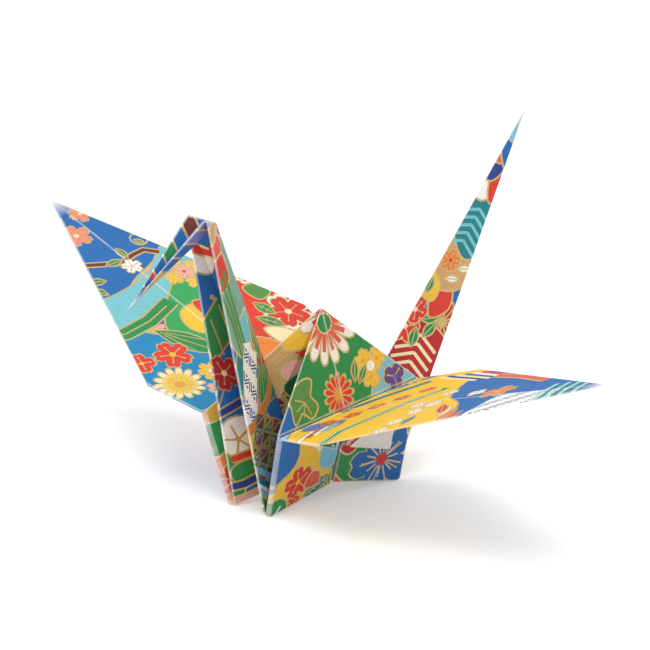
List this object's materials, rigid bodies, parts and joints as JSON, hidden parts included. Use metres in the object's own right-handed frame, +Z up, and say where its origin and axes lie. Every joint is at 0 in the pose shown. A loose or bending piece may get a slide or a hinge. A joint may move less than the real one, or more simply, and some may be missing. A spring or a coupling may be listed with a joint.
{
  "type": "origami crane",
  "caption": "Crane folded from one square sheet of patterned washi paper, standing on the four lower corners of its body.",
  "frame": {"origin": "middle of the object's box in plan, at the surface the crane stands on", "axes": "+X the way the neck leans, +Y towards the near wing's tip, +Z up"},
  "size_m": [0.0948, 0.1324, 0.0608],
  "materials": {
    "printed_paper": "matt washi, printed in many colours on one side"
  },
  "bodies": {
    "root": {"folded_sheet": "printed_paper"}
  },
  "joints": []
}
